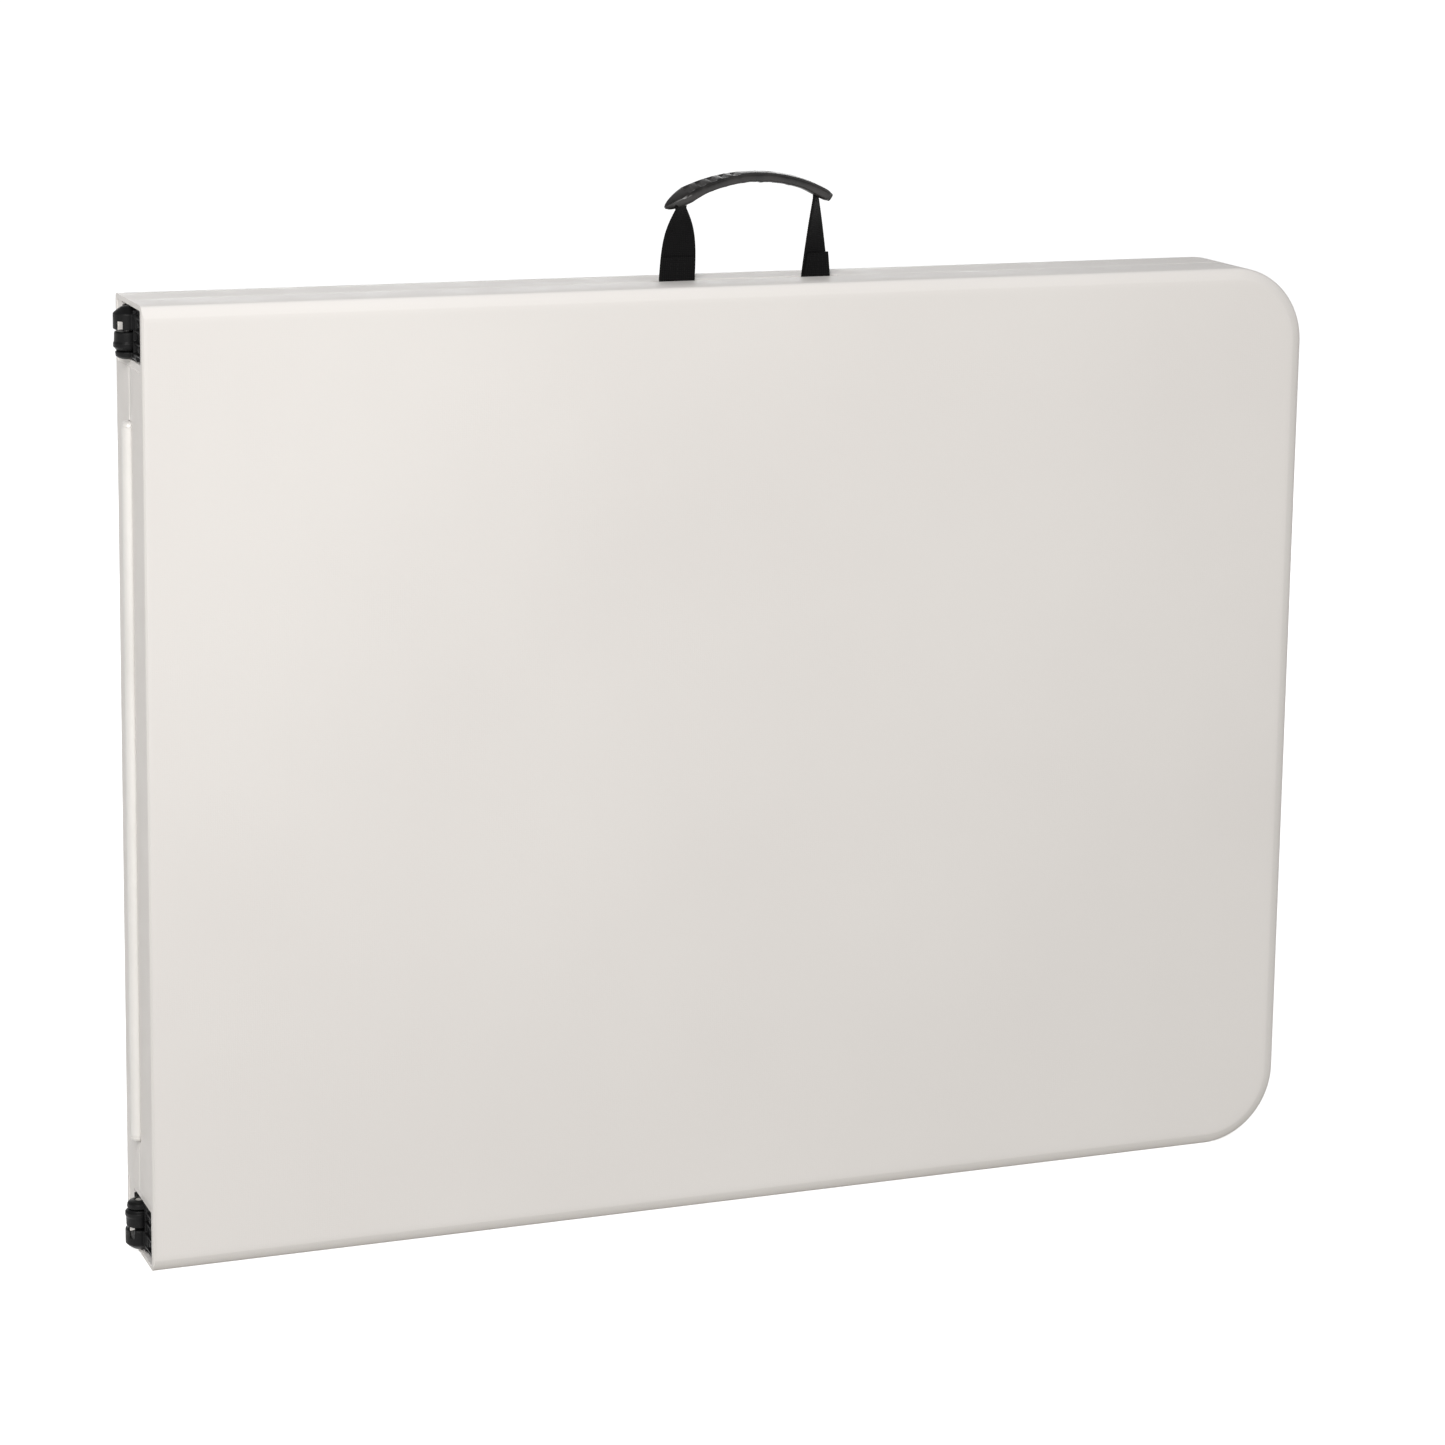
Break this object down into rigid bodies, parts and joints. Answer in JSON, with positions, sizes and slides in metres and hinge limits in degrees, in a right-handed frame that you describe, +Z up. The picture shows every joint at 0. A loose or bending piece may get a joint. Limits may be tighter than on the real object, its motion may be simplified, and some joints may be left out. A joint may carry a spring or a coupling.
{
  "type": "folding table",
  "caption": "Fold-in-half banquet table closed like a suitcase on its long edge, with plastic corner hinges, folding legs and a webbing carrying handle.",
  "frame": {"origin": "on the floor under the middle of the closed table's box", "axes": "+X from the fold to the outer end, +Y from half A through the seam to half B, +Z up across the table's width"},
  "size_m": [0.9254, 0.085, 0.7846],
  "materials": {
    "hdpe": "finely textured off-white blow-moulded plastic",
    "steel": "grey powder coat",
    "pale_tube": "pale satin paint",
    "black_plastic": "satin moulded black",
    "webbing": "woven black webbing",
    "grip": "satin soft black"
  },
  "bodies": {
    "half_a": {"brace_fork_a": "steel", "fold_tube": "pale_tube", "hinge_a_lower": "black_plastic", "hinge_a_upper": "black_plastic", "hinge_pin_lower": "steel", "hinge_pin_upper": "steel", "leg_clip_a_lower": "black_plastic", "leg_clip_a_upper": "black_plastic", "panel_a": "hdpe", "pivot_plate_a_lower": "steel", "pivot_plate_a_upper": "steel", "rail_a_lower": "steel", "rail_a_upper": "steel", "strap_anchor_left": "black_plastic", "strap_anchor_right": "black_plastic", "strap_root_left": "webbing", "strap_root_right": "webbing"},
    "half_b": {"brace_fork_b": "steel", "hinge_b_lower": "black_plastic", "hinge_b_upper": "black_plastic", "leg_clip_b_lower": "black_plastic", "leg_clip_b_upper": "black_plastic", "panel_b": "hdpe", "pivot_plate_b_lower": "steel", "pivot_plate_b_upper": "steel", "rail_b_lower": "steel", "rail_b_upper": "steel"},
    "leg_a": {"brace_collar_a_lower": "black_plastic", "brace_collar_a_upper": "black_plastic", "crossbar_a": "steel", "foot_a_lower": "black_plastic", "foot_a_upper": "black_plastic", "pivot_tube_a": "steel", "post_a_lower": "steel", "post_a_upper": "steel"},
    "leg_b": {"brace_collar_b_lower": "black_plastic", "brace_collar_b_upper": "black_plastic", "crossbar_b": "steel", "foot_b_lower": "black_plastic", "foot_b_upper": "black_plastic", "pivot_tube_b": "steel", "post_b_lower": "steel", "post_b_upper": "steel"},
    "brace_a": {"brace_a": "steel"},
    "brace_b": {"brace_b": "steel"},
    "handle": {"handle_grip": "grip", "strap_left": "webbing", "strap_right": "webbing"}
  },
  "joints": [
    {"name": "center_fold", "type": "hinge", "parent": "half_a", "child": "half_b", "pos_m": [-0.45225, 0, 0.3525], "axis": [0, 0, 1], "range_deg": [0, 180]},
    {"name": "leg_a_fold", "type": "hinge", "parent": "half_a", "child": "leg_a", "pos_m": [0.43175, -0.0235, 0.3525], "axis": [0, 0, -1], "range_deg": [0, 86]},
    {"name": "leg_b_fold", "type": "hinge", "parent": "half_b", "child": "leg_b", "pos_m": [0.43175, 0.0235, 0.3525], "axis": [0, 0, 1], "range_deg": [0, 86]},
    {"name": "brace_a_swing", "type": "hinge", "parent": "leg_a", "child": "brace_a", "pos_m": [0.18175, -0.0235, 0.3525], "axis": [0, 0, 1], "range_deg": [0, 127.44]},
    {"name": "brace_b_swing", "type": "hinge", "parent": "leg_b", "child": "brace_b", "pos_m": [0.18175, 0.0235, 0.3525], "axis": [0, 0, -1], "range_deg": [0, 127.44]},
    {"name": "handle_swing", "type": "hinge", "parent": "half_a", "child": "handle", "pos_m": [0.01425, 0, 0.7085], "axis": [1, 0, 0], "range_deg": [-70, 70]}
  ],
  "couplings": [
    {"joint": "leg_a_fold", "follows": "center_fold", "ratio": 0.47778},
    {"joint": "leg_b_fold", "follows": "center_fold", "ratio": 0.47778},
    {"joint": "brace_a_swing", "follows": "center_fold", "ratio": 0.70796},
    {"joint": "brace_b_swing", "follows": "center_fold", "ratio": 0.70796}
  ]
}
